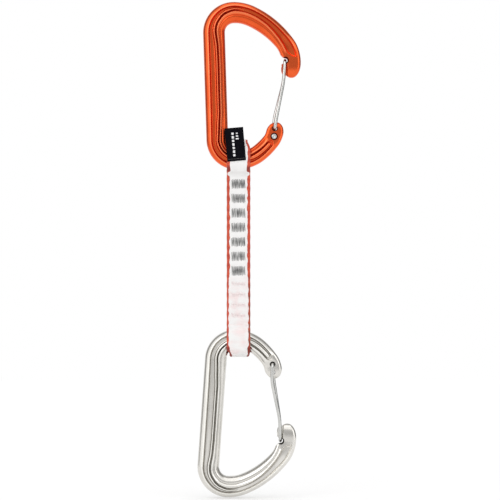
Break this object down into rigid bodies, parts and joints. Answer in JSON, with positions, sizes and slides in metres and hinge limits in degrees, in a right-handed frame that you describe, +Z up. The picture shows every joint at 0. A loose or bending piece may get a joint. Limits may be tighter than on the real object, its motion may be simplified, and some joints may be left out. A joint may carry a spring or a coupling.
{
  "type": "climbing quickdraw",
  "caption": "Climbing quickdraw: D-shaped carabiners with sprung wire gates, joined end to end by a doubled, bar-tacked tape sling with a loop round each small end.",
  "frame": {"origin": "basket seat of the top carabiner: the inside of its wide end, where it hangs from a hanger", "axes": "+Z up along the sling as it hangs, -Y the front face, +X to the gate side"},
  "size_m": [0.0579, 0.0146, 0.2772],
  "materials": {
    "orange_anodised": "satin orange anodised",
    "silver_polished": "bright tumbled",
    "gate_steel": "drawn stainless wire",
    "white_tape": "woven, orange edges",
    "black_label": "tight satin weave",
    "grey_thread": "sewing thread",
    "pale_thread": "sewing thread"
  },
  "bodies": {
    "top_carabiner": {"top_body": "orange_anodised"},
    "top_gate": {"top_gate_wire": "gate_steel"},
    "top_loop": {"top_loop_tape": "white_tape", "woven_label": "black_label", "label_stitches": "grey_thread"},
    "upper_sling": {"upper_front_ply": "white_tape", "upper_back_ply": "white_tape", "grey_bar_tacks": "grey_thread"},
    "lower_sling": {"lower_front_ply": "white_tape", "lower_back_ply": "white_tape", "pale_bar_tacks": "pale_thread"},
    "bottom_loop": {"bottom_loop_tape": "white_tape"},
    "bottom_carabiner": {"bottom_body": "silver_polished"},
    "bottom_gate": {"bottom_gate_wire": "gate_steel"}
  },
  "joints": [
    {"name": "top_gate_hinge", "type": "hinge", "parent": "top_carabiner", "child": "top_gate", "pos_m": [0.02197, 0, -0.06399], "axis": [0, -1, 0], "range_deg": [0, 30], "stiffness_Nm_per_rad": 0.25, "springref_deg": -28.65},
    {"name": "top_loop_slide_round", "type": "hinge", "parent": "top_carabiner", "child": "top_loop", "pos_m": [0.002, 0, -0.0664], "axis": [0, 1, 0], "range_deg": [-25, 25]},
    {"name": "upper_bend", "type": "hinge", "parent": "top_loop", "child": "upper_sling", "pos_m": [0.00203, 0, -0.08763], "axis": [1, 0, 0], "range_deg": [-75, 75]},
    {"name": "sling_twist", "type": "hinge", "parent": "upper_sling", "child": "lower_sling", "pos_m": [0.00203, 0, -0.14333], "axis": [0, 0, 1], "range_deg": [-90, 90]},
    {"name": "lower_bend", "type": "hinge", "parent": "lower_sling", "child": "bottom_loop", "pos_m": [0.00203, 0, -0.16698], "axis": [1, 0, 0], "range_deg": [-75, 75]},
    {"name": "bottom_carabiner_slide_round", "type": "hinge", "parent": "bottom_loop", "child": "bottom_carabiner", "pos_m": [0.0016, 0, -0.1895], "axis": [0, 1, 0], "range_deg": [-25, 10]},
    {"name": "bottom_gate_hinge", "type": "hinge", "parent": "bottom_carabiner", "child": "bottom_gate", "pos_m": [0.02111, 0, -0.19142], "axis": [0, 1, 0], "range_deg": [0, 30], "stiffness_Nm_per_rad": 0.25, "springref_deg": -28.65}
  ]
}
